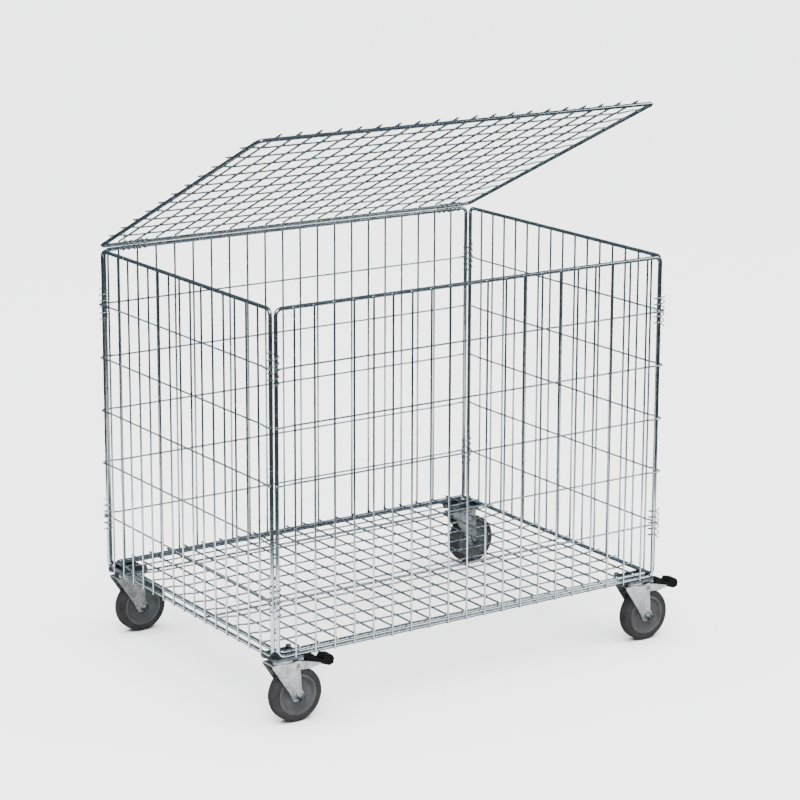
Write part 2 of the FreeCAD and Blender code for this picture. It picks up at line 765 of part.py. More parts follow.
def make_rivet(label):
    """Make the rivet that the pedal turns on, headed outside both cheeks."""
    body = new_body(label)
    shank = new_sketch(body, "XZ_Plane")
    add_circle(shank, "pedal_x", "pedal_z", "rivet")
    pad(body, shank, "fork_width", both=True)
    for lift, down in (("fork_width / 2", False), ("-fork_width / 2", True)):
        head = new_sketch(body, "XZ_Plane", lift)
        add_circle(head, "pedal_x", "pedal_z", "rivet_head")
        pad(body, head, "rivet_thick", down=down)
    return body


def make_bolt(length):
    """Make one plate bolt with its hexagon head below the plates."""
    body = new_body("bolt")
    shank = new_sketch(body, "XY_Plane", TOP_PLATE_UNDER)
    add_circle(shank, "0", "0", "bolt")
    pad(body, shank, length)
    head = new_sketch(body, "XY_Plane", TOP_PLATE_UNDER)
    add_hexagon(head, "0", "0", "bolt_flats")
    pad(body, head, "bolt_head", down=True)
    return body


def make_nut():
    """Make one plate nut, standing on the mounting plate."""
    body = new_body("nut")
    outline = new_sketch(body, "XY_Plane", PLATE_TOP)
    add_hexagon(outline, "0", "0", "bolt_flats")
    add_circle(outline, "0", "0", "bolt")
    pad(body, outline, "nut_thick")
    return body


CORNERS = [("fl", -1, -1), ("fr", 1, -1), ("bl", -1, 1), ("br", 1, 1)]


def make_casters():
    """Make the four casters, all trailing towards +X, and their fastenings."""
    nodes = []
    plates, balls, kingpins, bolts, nuts = [], [], [], [], []
    through = "mount_thick + top_thick"
    for corner, right, back in CORNERS:
        x = "%d * (width / 2 - caster_x)" % right
        y = "%d * (depth / 2 - caster_y)" % back
        braked = back < 0
        here = [
            make_top_plate("top_plate_" + corner),
            make_fork("fork_" + corner, braked),
            make_axle_bolt("axle_bolt_" + corner),
            make_axle_nut("axle_nut_" + corner),
            make_axle_sleeve("axle_sleeve_" + corner),
        ]
        if braked:
            here.append(make_rivet("pedal_rivet_" + corner))
            here.append(make_pedal("pedal_" + corner))
            here.append(make_pedal_cap("pedal_cap_" + corner))
        plates.append(make_mounting_plate())
        balls.append(make_balls())
        kingpins.append(make_kingpin())
        for piece in here + [plates[-1], balls[-1], kingpins[-1]]:
            put(piece, x, y)
        wheel = [make_hub("hub_" + corner), make_tyre("tyre_" + corner)]
        for piece in wheel:
            put(piece, x + " + trail", y, "wheel / 2")
        nodes += here + wheel
        # Only the inner bolt is clear of the frame rods and takes a nut.
        for across, along in HOLES:
            nutted = across == -right and along == -back
            length = through + " + nut_thick + bolt_end" if nutted else through
            fasteners = [make_bolt(length)]
            bolts.append(fasteners[0])
            if nutted:
                nuts.append(make_nut())
                fasteners.append(nuts[-1])
            for piece in fasteners:
                put(piece, x + " + %d * hole_long / 2" % across, y + " + %d * hole_wide / 2" % along)
    nodes.append(group("mounting_plates", plates))
    nodes.append(group("swivel_balls", balls))
    nodes.append(group("kingpins", kingpins))
    nodes.append(group("plate_bolts", bolts))
    nodes.append(group("plate_nuts", nuts))
    return nodes


# ------------------------------------------------------------------- assembly
nodes = []
nodes += wall("front", "width", "columns", "0", "-depth / 2", 0)
nodes += wall("back", "width", "columns", "0", "depth / 2", 180)
nodes += wall("left", "depth", "ranks", "-width / 2", "0", -90)
nodes += wall("right", "depth", "ranks", "width / 2", "0", 90)
nodes += make_floor()
nodes += make_lid()
nodes += make_corner_coils()
nodes += make_hinge_coils()
nodes += make_casters()
doc.recompute()

for thing in doc.Objects:
    if "Invalid" in thing.State or "Error" in thing.State:
        raise RuntimeError("%s failed: %s" % (thing.Label, thing.State))
for node in nodes:
    if node.Shape.isNull() or not node.Shape.isValid() or not node.Shape.Solids:
        raise RuntimeError(node.Label + " has no valid solid")

os.makedirs("parts", exist_ok=True)
for node in nodes:
    node.Shape.exportStep("parts/%s.step" % node.Label)
    print("%-26s %3d solids %12.1f mm3" % (node.Label, len(node.Shape.Solids), node.Shape.Volume))
print(len(nodes), "nodes")
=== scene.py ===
import json
import math
import random

import bmesh
import bpy
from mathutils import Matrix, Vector


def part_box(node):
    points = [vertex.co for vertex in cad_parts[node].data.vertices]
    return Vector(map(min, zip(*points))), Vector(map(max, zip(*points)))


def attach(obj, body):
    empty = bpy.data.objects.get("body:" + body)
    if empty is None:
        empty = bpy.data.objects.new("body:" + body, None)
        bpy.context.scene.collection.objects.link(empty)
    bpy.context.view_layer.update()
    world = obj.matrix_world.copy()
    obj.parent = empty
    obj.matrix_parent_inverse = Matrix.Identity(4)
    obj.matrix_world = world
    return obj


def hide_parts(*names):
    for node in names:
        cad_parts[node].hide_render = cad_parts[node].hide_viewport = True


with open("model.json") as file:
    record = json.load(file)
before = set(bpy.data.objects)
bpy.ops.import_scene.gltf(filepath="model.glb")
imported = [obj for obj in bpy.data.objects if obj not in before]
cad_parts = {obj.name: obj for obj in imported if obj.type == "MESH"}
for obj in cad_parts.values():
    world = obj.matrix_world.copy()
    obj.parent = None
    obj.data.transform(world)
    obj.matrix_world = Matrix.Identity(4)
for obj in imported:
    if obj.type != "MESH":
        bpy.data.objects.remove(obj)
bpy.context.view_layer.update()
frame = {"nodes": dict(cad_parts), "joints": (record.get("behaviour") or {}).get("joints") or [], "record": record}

# A wire-mesh container on four swivel casters, with a coil-hinged mesh lid.
# Metres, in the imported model's own frame. Sizes are read from the CAD nodes.
NODES = frame["nodes"]
JOINTS = {joint["name"]: joint for joint in frame["joints"]}
MM = 0.001
X = Vector((1, 0, 0))
Y = Vector((0, 1, 0))
Z = Vector((0, 0, 1))
dice = random.Random(7)


# ------------------------------------------------------------------ materials
DRAWN = (0.02, 1.0, 1.0)  # stretches a noise along a drawn wire
BLACK = (0.0, 0.0, 0.0, 1.0)
WHITE = (1.0, 1.0, 1.0, 1.0)


def set_stops(ramp, stops):
    """Give a colour ramp its stops: each is (position, colour)."""
    elements = ramp.color_ramp.elements
    while len(elements) < len(stops):
        elements.new(0.5)
    for element, (position, colour) in zip(elements, stops):
        element.position = position
        element.color = (*colour, 1.0)


class Recipe:
    """A node material that is built up from a Principled shader."""

    def __init__(self, name):
        self.material = bpy.data.materials.new(name)
        self.material.use_nodes = True
        self.tree = self.material.node_tree
        self.shader = self.tree.nodes["Principled BSDF"]

    def feed(self, socket, source):
        """Link a socket, or set its value."""
        if isinstance(source, bpy.types.NodeSocket):
            self.tree.links.new(source, socket)
        else:
            socket.default_value = source

    def shade(self, **sources):
        """Link or set the shader's own inputs."""
        for key, source in sources.items():
            self.feed(self.shader.inputs[key.replace("_", " ")], source)

    def node(self, kind, **settings):
        """Add a node: names with a capital are inputs, the others are properties."""
        made = self.tree.nodes.new("ShaderNode" + kind)
        for key, setting in settings.items():
            if key[0].isupper():
                self.feed(made.inputs[key.replace("_", " ")], setting)
            else:
                setattr(made, key, setting)
        return made

    def noise(self, where, scale, detail=4.0, roughness=0.6, stretch=None):
        """Return a noise value, on coordinates that may be stretched first."""
        if stretch:
            where = self.node("Mapping", Vector=where, Scale=stretch).outputs["Vector"]
        made = self.node("TexNoise", Scale=scale, Detail=detail, Roughness=roughness, Vector=where)
        return made.outputs["Fac"]

    def ramp(self, value, *stops):
        """Map a value to colours."""
        made = self.node("ValToRGB", Fac=value)
        set_stops(made, stops)
        return made.outputs["Color"]

    def rescale(self, value, low, high):
        """Map 0..1 to low..high."""
        return self.node("MapRange", Value=value, To_Min=low, To_Max=high).outputs["Result"]

    def math(self, operation, a, b):
        """Combine two values."""
        made = self.node("Math", operation=operation)
        self.feed(made.inputs[0], a)
        self.feed(made.inputs[1], b)
        return made.outputs[0]

    def weigh(self, main, other, share):
        """Mix two values, with a share of the other one."""
        rest = self.math("MULTIPLY", main, 1 - share)
        return self.math("ADD", rest, self.math("MULTIPLY", other, share))

    def bump(self, height, strength, distance):
        """Feed a height into the shader's normal."""
        made = self.node("Bump", Strength=strength, Distance=distance, Height=height)
        self.shade(Normal=made.outputs["Normal"])

    def lay(self):
        """Coordinates that follow a wire: length along it, then across its section."""
        return self.node("Attribute", attribute_name="lay").outputs["Vector"]

    def place(self):
        """The row frame's coordinates at rest."""
        return self.node("TexCoord").outputs["Object"]


def zinc_wire(name, dark, light, rough):
    """Bright zinc plating on drawn wire: drawn streaks, cloudy tone and dull patches."""
    recipe = Recipe(name)
    lay = recipe.lay()
    streaks = recipe.noise(lay, scale=900.0, detail=3.0, stretch=DRAWN)
    clouds = recipe.noise(lay, scale=18.0)
    specks = recipe.noise(lay, scale=420.0, detail=2.0, roughness=0.5)
    colour = recipe.ramp(recipe.weigh(clouds, streaks, 0.25), (0.3, dark), (0.7, light))
    dull = recipe.rescale(recipe.math("MULTIPLY", specks, clouds), rough - 0.07, rough + 0.3)
    recipe.shade(Base_Color=colour, Metallic=1.0, Roughness=dull)
    recipe.bump(streaks, strength=0.10, distance=0.03 * MM)
    return recipe.material


def zinc_sheet(name, dark, light, rough):
    """Zinc-plated pressed steel: a faint spangle, cloudy stains and a fine grain."""
    recipe = Recipe(name)
    place = recipe.place()
    cells = recipe.node("TexVoronoi", feature="F1", Scale=260.0, Vector=place).outputs["Color"]
    spangle = recipe.node("SeparateColor", Color=cells).outputs[0]
    clouds = recipe.noise(place, scale=70.0, detail=6.0, roughness=0.7)
    grain = recipe.noise(place, scale=900.0, detail=3.0)
    colour = recipe.ramp(recipe.weigh(clouds, spangle, 0.14), (0.36, dark), (0.6, light))
    dull = recipe.rescale(clouds, rough - 0.08, rough + 0.22)
    recipe.shade(Base_Color=colour, Metallic=1.0, Roughness=dull)
    recipe.bump(grain, strength=0.2, distance=0.1 * MM)
    return recipe.material


def hardware(name):
    """Zinc-plated fasteners and balls, with a darkened base colour: painted shade standing in for their dark
    reflections.
    """
    recipe = Recipe(name)
    place = recipe.place()
    clouds = recipe.noise(place, scale=160.0)
    colour = recipe.ramp(clouds, (0.3, (0.17, 0.20, 0.21)), (0.7, (0.38, 0.42, 0.43)))
    recipe.shade(Base_Color=colour, Metallic=1.0, Roughness=recipe.rescale(clouds, 0.18, 0.42))
    recipe.bump(recipe.noise(place, scale=1400.0), strength=0.15, distance=0.05 * MM)
    return recipe.material


def rubber(name):
    """Solid grey rubber, slightly chalky and dusty."""
    recipe = Recipe(name)
    place = recipe.place()
    dust = recipe.noise(place, scale=38.0, detail=6.0, roughness=0.65)
    grain = recipe.noise(place, scale=1500.0, detail=3.0)
    colour = recipe.ramp(dust, (0.35, (0.014, 0.0136, 0.0145)), (0.72, (0.028, 0.027, 0.028)))
    dull = recipe.rescale(dust, 0.62, 0.86)
    recipe.shade(Base_Color=colour, Roughness=dull, Specular_IOR_Level=0.12)
    height = recipe.math("ADD", grain, recipe.math("MULTIPLY", dust, 2.0))
    recipe.bump(height, strength=0.3, distance=0.2 * MM)
    return recipe.material


def plastic(name, dark, light, rough, shine):
    """Moulded plastic with a fine grain."""
    recipe = Recipe(name)
    place = recipe.place()
    clouds = recipe.noise(place, scale=45.0, detail=5.0)
    grain = recipe.noise(place, scale=1100.0, detail=2.0, roughness=0.5)
    colour = recipe.ramp(clouds, (0.3, dark), (0.7, light))
    dull = recipe.rescale(clouds, rough - 0.06, rough + 0.14)
    recipe.shade(Base_Color=colour, Roughness=dull, Specular_IOR_Level=shine)
    recipe.bump(grain, strength=0.25, distance=0.12 * MM)
    return recipe.material


def floor_paint(name):
    """A plain pale studio floor."""
    recipe = Recipe(name)
    recipe.shade(Base_Color=(0.93, 0.93, 0.93, 1.0), Roughness=0.8, Specular_IOR_Level=0.15)
    return recipe.material


def glow(name, strength):
    """A plain white glow."""
    recipe = Recipe(name)
    recipe.shade(Base_Color=BLACK, Emission_Color=WHITE, Emission_Strength=strength)
    return recipe.material


FINISH = {
    "zinc_frame": zinc_wire("zinc_frame", (0.40, 0.46, 0.50), (0.60, 0.66, 0.70), 0.20),
    "zinc_mesh": zinc_wire("zinc_mesh", (0.44, 0.50, 0.54), (0.62, 0.68, 0.72), 0.20),
    "coil_wire": zinc_wire("coil_wire", (0.40, 0.45, 0.48), (0.66, 0.71, 0.74), 0.20),
    # zinc_plate: a very dark base colour, painted shade standing in for the shade and dark reflections on the
    # mounting plates under the frame
    "zinc_plate": zinc_sheet("zinc_plate", (0.07, 0.085, 0.095), (0.18, 0.205, 0.22), 0.26),
    "zinc_fork": zinc_sheet("zinc_fork", (0.46, 0.48, 0.50), (0.92, 0.93, 0.94), 0.36),
    "fastener_steel": hardware("fastener_steel"),
    "ball_steel": hardware("ball_steel"),
    "hub_plastic": plastic(
        "hub_plastic", (0.034, 0.036, 0.038), (0.054, 0.057, 0.060), rough=0.5, shine=0.15
    ),
    "tyre_rubber": rubber("tyre_rubber"),
    "cap_plastic": plastic(
        "cap_plastic", (0.002, 0.002, 0.002), (0.005, 0.005, 0.005), rough=0.42, shine=0.10
    ),
}


# --------------------------------------------------------------- mesh building
class Shape:
    """Collects the points and faces of a piece, with coordinates that follow its wires."""

    def __init__(self):
        self.points = []
        self.faces = []
        self.lays = []

    def ring(self, points, lays):
        """Add a ring of points and return their numbers."""
        first = len(self.points)
        self.points += points
        self.lays += lays
        return list(range(first, len(self.points)))

    def bridge(self, a, b):
        """Join two rings with a band of quads."""
        count = len(a)
        for i in range(count):
            j = (i + 1) % count
            self.faces.append((a[i], a[j], b[j], b[i]))

    def skin(self, rings, closing=None):
        """Join a row of rings. A closing ring makes it a loop; otherwise its ends are capped."""
        for a, b in zip(rings, rings[1:]):
            self.bridge(a, b)
        if closing:
            self.bridge(rings[-1], closing)
        else:
            self.faces.append(tuple(reversed(rings[0])))
            self.faces.append(tuple(rings[-1]))

    def piece(self, name, body, finish, replaced=(), smooth=40.0):
        """Make the object: smooth but for its sharp edges, on its body."""
        mesh = bpy.data.meshes.new(name)
        mesh.from_pydata([tuple(point) for point in self.points], [], self.faces)
        layer = mesh.attributes.new("lay", "FLOAT_VECTOR", "POINT")
        layer.data.foreach_set("vector", [part for lay in self.lays for part in lay])
        mesh.validate()
        made = bpy.data.objects.new(name, mesh)
        bpy.context.scene.collection.objects.link(made)
        work = bmesh.new()
        work.from_mesh(mesh)
        bmesh.ops.recalc_face_normals(work, faces=work.faces)
        limit = math.radians(smooth)
        for face in work.faces:
            face.smooth = True
        for edge in work.edges:
            edge.smooth = edge.calc_face_angle(math.pi) < limit
        work.to_mesh(mesh)
        work.free()
        mesh.materials.append(FINISH[finish])
        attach(made, body)
        if replaced:
            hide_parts(*replaced)


def across(direction):
    """A unit vector square to a direction."""
    side = direction.cross(Z if abs(direction.z) < 0.9 else X)
    return side.normalized()


LAY_SPREAD = 40.0  # each wire's pattern begins somewhere in this length
END_EDGE = 0.3 * MM  # chamfer of a cut end, but at most a quarter of the radius


def tube(shape, path, radius, sides, closed=False):
    """Sweep a round wire along a path. Open ends are cut square, with a small chamfer."""
    count = len(path)
    along = dice.uniform(0, LAY_SPREAD)
    runs = []
    for i in range(count):
        before = path[i - 1] if i or closed else path[0]
        after = path[(i + 1) % count] if i < count - 1 or closed else path[-1]
        runs.append((after - before).normalized())
    side = across(runs[0])
    stations = []
    for i in range(count):
        if i:
            along += (path[i] - path[i - 1]).length
            turn = runs[i - 1].rotation_difference(runs[i])
            side = (turn @ side).normalized()
        stations.append((path[i], runs[i], side.copy(), along, radius))
    if not closed:
        edge = min(radius * 0.25, END_EDGE)
        first, last = stations[0], stations[-1]
        stations[0] = (first[0] + first[1] * edge, *first[1:])
        stations[-1] = (last[0] - last[1] * edge, *last[1:])
        stations.insert(0, (*first[:4], radius - edge))
        stations.append((*last[:4], radius - edge))
    rings = []
    for point, run, side, along, size in stations:
        other = run.cross(side)
        points = []
        lays = []
        for k in range(sides):
            angle = math.tau * k / sides
            c = math.cos(angle) * size
            s = math.sin(angle) * size
            points.append(point + side * c + other * s)
            lays.append((along, c, s))
        rings.append(shape.ring(points, lays))
    shape.skin(rings, nearest_turn(shape, rings[-1], rings[0]) if closed else None)


def nearest_turn(shape, ring, target):
    """Turn the target ring's numbering so that it starts beside the given ring."""
    first = shape.points[ring[0]]
    near = min(range(len(target)), key=lambda k: (shape.points[target[k]] - first).length)
    return target[near:] + target[:near]


def bent(points, radius, steps, closed=False):
    """Round the corners of a polyline with arcs, as a bent wire has."""
    count = len(points)
    path = []
    for i, point in enumerate(points):
        if not closed and i in (0, count - 1):
            path.append(point)
            continue
        back = (points[i - 1] - point).normalized()
        on = (points[(i + 1) % count] - point).normalized()
        half = back.angle(on) / 2
        reach = radius / math.tan(half)
        centre = point + (back + on).normalized() * (radius / math.sin(half))
        begin = point + back * reach - centre
        end = point + on * reach - centre
        whole = begin.angle(end)
        for k in range(steps + 1):
            t = k / steps
            arm = begin * math.sin((1 - t) * whole) + end * math.sin(t * whole)
            path.append(centre + arm / math.sin(whole))
    return path


def refine(path, longest):
    """Divide long runs, so that the wire's own coordinates stay even."""
    result = []
    for start, end in zip(path, path[1:]):
        parts = max(1, math.ceil((end - start).length / longest))
        for k in range(parts):
            result.append(start.lerp(end, k / parts))
    result.append(path[-1])
    return result


def wobble(size):
    """A small random offset, as hand-fed wire has."""
    return dice.uniform(-size, size)


# ---------------------------------------------------------------- mesh panels
CROSS = 3.8 * MM  # thickness of the cross wires
BEND = 14 * MM
BEND_STEPS = 10
JOGGLE_CREST = 12 * MM
JOGGLE_FOOT = 6 * MM
JOGGLE_BEND = 9 * MM
JOGGLE_STEPS = 4
FRAME_SIDES = 28
FRAME_SPAN = 0.06
WIRE_SIDES = 14
WIRE_SPAN = 0.13
UNEVEN = 0.5 * MM  # by how much the bars' ends differ
WELD_SIDES = 10
WELD_LEVELS = 5
FRAME_WELD = (2.5 * MM, 2.3 * MM, 1.0 * MM)  # half the length, width and thickness
CROSS_WELD = (2.1 * MM, 2.1 * MM, 0.9 * MM)
END_WELD = (2.3 * MM, 2.1 * MM, 0.9 * MM)


class Basis:
    """A panel's own directions: right, up and out, from an origin."""

    def __init__(self, origin, right, up, out):
        self.origin = origin
        self.axes = (right, up, out)

    def world(self, x, y, z):
        right, up, out = self.axes
        return self.origin + right * x + up * y + out * z

    def extent(self, node):
        """The lowest and highest corner of a CAD node along the panel's directions."""
        low = [math.inf] * 3
        high = [-math.inf] * 3
        for vertex in NODES[node].data.vertices:
            for k, axis in enumerate(self.axes):
                reach = (vertex.co - self.origin).dot(axis)
                low[k] = min(low[k], reach)
                high[k] = max(high[k], reach)
        return low, high


def nugget(shape, basis, place, size):
    """Add a weld: a small flattened blob in the crevice between two crossed wires."""
    centre = basis.world(*place)
    right, up, out = basis.axes
    rings = []
    for level in range(WELD_LEVELS):
        tilt = math.pi * (level + 0.5) / WELD_LEVELS - math.pi / 2
        points = []
        for k in range(WELD_SIDES):
            angle = math.tau * k / WELD_SIDES
            round_x = right * math.cos(angle) * size[0]
            round_y = up * math.sin(angle) * size[1]
            rise = out * math.sin(tilt) * size[2]
            points.append(centre + (round_x + round_y) * math.cos(tilt) + rise)
        rings.append(shape.ring(points, [tuple(p) for p in points]))
    shape.skin(rings)


def frame_rod(name, body, basis):
    """Bend a panel's frame rod. Return where its sides, its bottom and its top run."""
    low, high = basis.extent(name + "_frame")
    rod = (high[2] - low[2]) / 2
    level = (high[2] + low[2]) / 2
    side = high[0] - rod
    bottom = low[1] + rod
    top = high[1] - rod
    corners = [(side, bottom), (side, top), (-side, top), (-side, bottom)]
    loop = bent([basis.world(x, y, level) for x, y in corners], BEND, BEND_STEPS, closed=True)
    shape = Shape()
    tube(shape, refine(loop, FRAME_SPAN), rod, FRAME_SIDES, closed=True)
    shape.piece(name + "_frame_rod", body, "zinc_frame", [name + "_frame"])
    return side, bottom, top


def mesh_bars(name, body, basis, node, count):
    """Lay a panel's bars. Return their places, and the level at which wires touch them."""
    low, high = basis.extent(node)
    radius = (high[2] - low[2]) / 2
    level = (high[2] + low[2]) / 2
    first = low[0] + radius
    step = (high[0] - low[0] - 2 * radius) / (count - 1)
    places = [first + step * k for k in range(count)]
    shape = Shape()
    for x in places:
        start = low[1] + wobble(UNEVEN)
        ends = [basis.world(x, start, level), basis.world(x, high[1], level)]
        tube(shape, refine(ends, WIRE_SPAN), radius, WIRE_SIDES)
    shape.piece(name + "_mesh_bars", body, "zinc_mesh", [node])
    return places, level - radius


def mesh_wires(name, body, basis, count, crest, foot):
    """Lay a panel's cross wires, stepped up over the frame. Return their rows and seat."""
    node = name + "_cross_wires"
    low, high = basis.extent(node)
    radius = CROSS / 2
    main = low[2] + radius
    raised = high[2] - radius
    first = low[1] + radius
    step = (high[1] - low[1] - 2 * radius) / (count - 1)
    rows = [first + step * k for k in range(count)]
    run = [
        (low[0], raised), (-crest, raised), (-foot, main),
        (foot, main), (crest, raised), (high[0], raised),
    ]
    shape = Shape()
    for y in rows:
        path = bent([basis.world(x, y, z) for x, z in run], JOGGLE_BEND, JOGGLE_STEPS)
        tube(shape, refine(path, WIRE_SPAN), radius, WIRE_SIDES)
    shape.piece(name + "_mesh_wires", body, "zinc_mesh", [node])
    return rows, raised - radius


def panel(name, body, basis, bars_node, bar_count, cross_count):
    """Build a panel's frame, bars, cross wires and welds over its CAD nodes."""
    side, bottom, top = frame_rod(name, body, basis)
    bars, contact = mesh_bars(name, body, basis, bars_node, bar_count)
    crest = side - JOGGLE_CREST
    foot = JOGGLE_FOOT - bars[0]
    rows, seat = mesh_wires(name, body, basis, cross_count, crest, foot)
    welds = Shape()
    for x in bars:
        for y in (bottom, top):
            nugget(welds, basis, (x, y, contact), FRAME_WELD)
        for y in rows:
            nugget(welds, basis, (x, y, contact), CROSS_WELD)
    for y in rows:
        for x in (-side, side):
            nugget(welds, basis, (x, y, seat), END_WELD)
    welds.piece(name + "_welds", body, "zinc_mesh")


LID_JOINT = JOINTS["lid_hinge"]
HINGE = Vector(LID_JOINT["pos_m"])
LID_ANGLE = math.radians(-LID_JOINT["range_deg"][0])
LID_UP = Vector((0, -math.cos(LID_ANGLE), math.sin(LID_ANGLE)))
LID_OUT = Vector((0, math.sin(LID_ANGLE), math.cos(LID_ANGLE)))
ORIGIN = Vector((0, 0, 0))

panel("front", "root", Basis(ORIGIN, X, Z, -Y), "front_upright_bars", 20, 5)
panel("back", "root", Basis(ORIGIN, -X, Z, Y), "back_upright_bars", 20, 5)
panel("left", "root", Basis(ORIGIN, -Y, Z, -X), "left_upright_bars", 15, 5)
panel("right", "root", Basis(ORIGIN, Y, Z, X), "right_upright_bars", 15, 5)
panel("floor", "root", Basis(ORIGIN, X, Y, Z), "floor_bars", 20, 11)
panel("lid", "lid", Basis(HINGE, -X, LID_UP, LID_OUT), "lid_bars", 20, 11)


# --------------------------------------------------------------- rods and coils
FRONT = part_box("front_frame")
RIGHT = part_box("right_frame")
ROD = (FRONT[1].y - FRONT[0].y) / 2
STIFFENER_SIDES = 16
COIL_WIRE = 1.25 * MM
COIL_SIDES = 12
COIL_STEPS = 28  # in each turn
COIL_PITCH = 14.4 * MM
CORNER_COIL = 11.9 * MM
CORNER_TURNS = 5
HINGE_COIL = 11 * MM
HINGE_TURNS = 4.75
HINGE_SPACE = 900 * MM
TAIL = Vector((1.2 * MM, 0, 38 * MM))
TAIL_SPAN = 0.01


def make_stiffeners():
    """Lay the two stiffener rods under the floor."""
    low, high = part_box("floor_stiffeners")
    thick = (high.z - low.z) / 2
    rods = Shape()
    for y in (low.y + thick, high.y - thick):
        ends = [Vector((low.x, y, low.z + thick)), Vector((high.x, y, low.z + thick))]
        tube(rods, refine(ends, WIRE_SPAN), thick, STIFFENER_SIDES)
    rods.piece("stiffener_rods", "root", "zinc_frame", ["floor_stiffeners"])


def winding(start, axis, arm, turns):
    """Points along a right-handed coil that begins at the end of an arm."""
    other = axis.cross(arm)
    count = round(turns * COIL_STEPS)
    path = []
    for k in range(count + 1):
        turn = turns * k / count
        spoke = arm * math.cos(math.tau * turn) + other * math.sin(math.tau * turn)
        path.append(start + axis * (COIL_PITCH * turn) + spoke)
    return path


def make_corner_coils():
    """Wind two coils round the upright rods at each corner."""
    reach_x = (RIGHT[1].x + FRONT[1].x) / 2 - ROD
    reach_y = -(FRONT[0].y + RIGHT[0].y) / 2 - ROD
    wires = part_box("front_cross_wires")
    half = COIL_PITCH * CORNER_TURNS / 2
    coils = Shape()
    for right in (-1, 1):
        for back in (-1, 1):
            arm = Vector((right, back, 0)).normalized() * CORNER_COIL
            for z in (wires[0].z + CROSS / 2, wires[1].z - CROSS / 2):
                start = Vector((right * reach_x, back * reach_y, z - half))
                tube(coils, winding(start, Z, arm, CORNER_TURNS), COIL_WIRE, COIL_SIDES)
    coils.piece("corner_coil_wires", "root", "coil_wire", ["corner_coils"])


def make_hinge_coils():
    """Wind the two hinge coils; the left one has a straight tail, leaning a little."""
    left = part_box("hinge_coils")[0].x + COIL_WIRE
    middle = (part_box("back_frame")[1].z - ROD + HINGE.z) / 2
    coils = Shape()
    for x, tailed in ((left, True), (left + HINGE_SPACE, False)):
        path = winding(Vector((x, HINGE.y, middle)), X, -Y * HINGE_COIL, HINGE_TURNS)
        if tailed:
            path = refine([path[0] + TAIL, path[0]], TAIL_SPAN) + path[1:]
        tube(coils, path, COIL_WIRE, COIL_SIDES)
    coils.piece("hinge_coil_wires", "root", "coil_wire", ["hinge_coils"])


make_stiffeners()
make_corner_coils()
make_hinge_coils()


# -------------------------------------------------------------------- casters
# Outlines are (along the axis, radius) in millimetres.
HUB = [
    (17.4, 8.05), (17.8, 8.6), (17.8, 15.0), (17.5, 15.7), (16.8, 16.1), (11.0, 17.0),
    (9.6, 17.9), (9.0, 19.6), (8.6, 24.0), (8.6, 33.0), (9.0, 36.4), (9.8, 37.9),
    (11.2, 38.8), (14.6, 40.4), (15.4, 41.0), (15.8, 41.8), (15.8, 44.9), (15.6, 45.8),
    (15.0, 46.6), (14.8, 47.0),
]
TYRE = [
    (14.8, 47.0), (15.3, 47.4), (15.9, 48.4), (16.0, 49.6), (16.2, 50.4), (16.25, 51.2),
    (16.1, 52.0), (16.1, 54.4), (15.95, 56.4), (15.3, 58.2), (14.2, 59.8), (12.6, 61.1),
    (10.8, 61.9), (8.8, 62.2), (5.0, 62.3), (0.5, 62.3), (0.25, 62.5),
]
AXLE_HEAD = [
    (-28.5, 8.4), (-28.4, 9.1), (-27.5, 11.2), (-22.0, 11.2), (-21.5, 9.3), (-21.5, 6.0),
    (20.0, 6.0),
]
AXLE_NUT = [
    (22.1, 6.0), (21.5, 6.6), (21.5, 9.3), (22.0, 11.2), (27.3, 11.2), (28.3, 9.2),
    (28.5, 8.6), (28.5, 6.8), (27.9, 6.0),
]
AXLE_FLATS = 19.0
RIVET = [
    (21.5, 3.0), (21.5, 5.0), (22.4, 4.9), (23.1, 4.1), (23.3, 3.2), (23.2, 2.5),
    (22.7, 1.9), (22.3, 1.2),
]
PLATE_HEAD = [(-5.5, 5.4), (-5.4, 6.0), (-4.7, 7.6), (-0.4, 7.6), (0.0, 6.4), (0.0, 4.0)]
PLATE_SHANK = (6.0, 4.0)
PLATE_TIP = (6.4, 3.6)
PLATE_NUT = [
    (0.4, 4.0), (0.0, 4.4), (0.0, 6.4), (0.4, 7.6), (5.7, 7.6), (6.4, 6.2), (6.5, 5.6),
    (6.5, 4.5), (6.1, 4.0),
]
PLATE_FLATS = 13.0
HOLE_X = 30.75 * MM
HOLE_Y = 25.75 * MM
TOP_PLATE = 3.5 * MM  # thickness
HUB_SIDES = 96
TYRE_SIDES = 128
AXLE_SIDES = 48
PLATE_SIDES = 36
RIVET_SIDES = 32
CORNERS = {"fl": (-1, -1), "fr": (1, -1), "bl": (-1, 1), "br": (1, 1)}


def lathe(shape, centre, axis, outline, sides, flats=0.0, hollow=False):
    """Turn an outline of (along, radius) round an axis; flats cut it to a hexagon."""
    side = across(axis)
    other = axis.cross(side)
    rings = []
    for along, radius in outline:
        points = []
        lays = []
        for k in range(sides):
            angle = math.tau * k / sides
            off_flat = (angle + math.pi / 6) % (math.pi / 3) - math.pi / 6
            size = min(radius, flats / 2 / math.cos(off_flat)) if flats else radius
            c = math.cos(angle) * size * MM
            s = math.sin(angle) * size * MM
            points.append(centre + axis * along * MM + side * c + other * s)
            lays.append((along * MM, c, s))
        rings.append(shape.ring(points, lays))
    shape.skin(rings, rings[0] if hollow else None)


def thread(start, end, radius, pitch, depth):
    """The outline of a screw thread along a shank, with a tapered tip."""
    turns = int((end - start) / pitch)
    root = radius - depth
    outline = []
    for k in range(turns):
        along = start + pitch * k
        outline += [(along, root), (along + pitch * 0.4, radius), (along + pitch * 0.6, radius)]
    return outline + [(start + pitch * turns, root), (end, radius - depth * 1.6)]


def mirrored(half):
    """An outline's mirror image, in the opposite order."""
    return [(-along, radius) for along, radius in reversed(half)]


